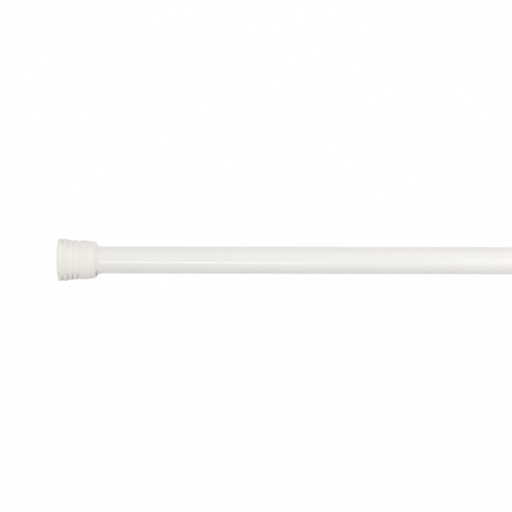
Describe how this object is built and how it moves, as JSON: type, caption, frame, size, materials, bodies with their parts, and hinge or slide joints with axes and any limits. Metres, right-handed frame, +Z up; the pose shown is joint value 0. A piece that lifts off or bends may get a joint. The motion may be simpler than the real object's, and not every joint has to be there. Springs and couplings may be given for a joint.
{
  "type": "shower curtain rod",
  "caption": "Telescoping spring tension rod for a shower curtain: two white steel tubes with a twist lock and a ringed rubber cap on each end.",
  "frame": {"origin": "centre of the outer tube's wall face, which presses on the first wall", "axes": "+X along the rod towards the second wall, +Z up as hung between two walls"},
  "size_m": [0.7, 0.0392, 0.0392],
  "materials": {
    "cap_rubber": "soft warm white moulded rubber, semi matte",
    "white_enamel": "glossy white baked enamel on rolled steel tube",
    "natural_nylon": "natural moulded nylon, satin",
    "white_nylon": "white moulded nylon, satin",
    "zinc_steel": "bright zinc plating over turned steel",
    "spring_steel": "drawn spring steel, lightly oiled"
  },
  "bodies": {
    "outer_rod": {"outer_cap": "cap_rubber", "outer_tube": "white_enamel", "outer_end_plug": "natural_nylon", "mouth_bushing": "white_nylon"},
    "sleeve": {"lock_sleeve": "natural_nylon"},
    "cone": {"cone_nut": "natural_nylon"},
    "plunger": {"screw_rod": "zinc_steel", "stop_nut": "zinc_steel", "thrust_washer": "zinc_steel", "collar": "zinc_steel", "collar_pin": "spring_steel", "spring_follower": "natural_nylon", "tail_washer": "zinc_steel", "tail_nut": "zinc_steel", "thrust_spring": "spring_steel"},
    "inner_rod": {"inner_tube": "white_enamel", "inner_cap": "cap_rubber", "inner_end_plug": "natural_nylon", "rod_guide": "natural_nylon", "spring_seat": "natural_nylon"}
  },
  "joints": [
    {"name": "length_slide", "type": "slide", "parent": "outer_rod", "child": "sleeve", "axis": [1, 0, 0], "range_m": [-0.04, 0.367]},
    {"name": "lock_twist", "type": "hinge", "parent": "sleeve", "child": "plunger", "pos_m": [0.1, 0, 0], "axis": [-1, 0, 0], "range_deg": [0, 450]},
    {"name": "spring_travel", "type": "slide", "parent": "plunger", "child": "inner_rod", "axis": [1, 0, 0], "range_m": [-0.025, 0], "stiffness_N_per_m": 3200, "springref_m": 0.015, "deforming": ["thrust_spring"]},
    {"name": "cone_travel", "type": "slide", "parent": "sleeve", "child": "cone", "axis": [1, 0, 0], "range_m": [0, 0.0016]}
  ],
  "couplings": [
    {"joint": "cone_travel", "follows": "lock_twist", "m_per_rad": 0.00019894}
  ]
}
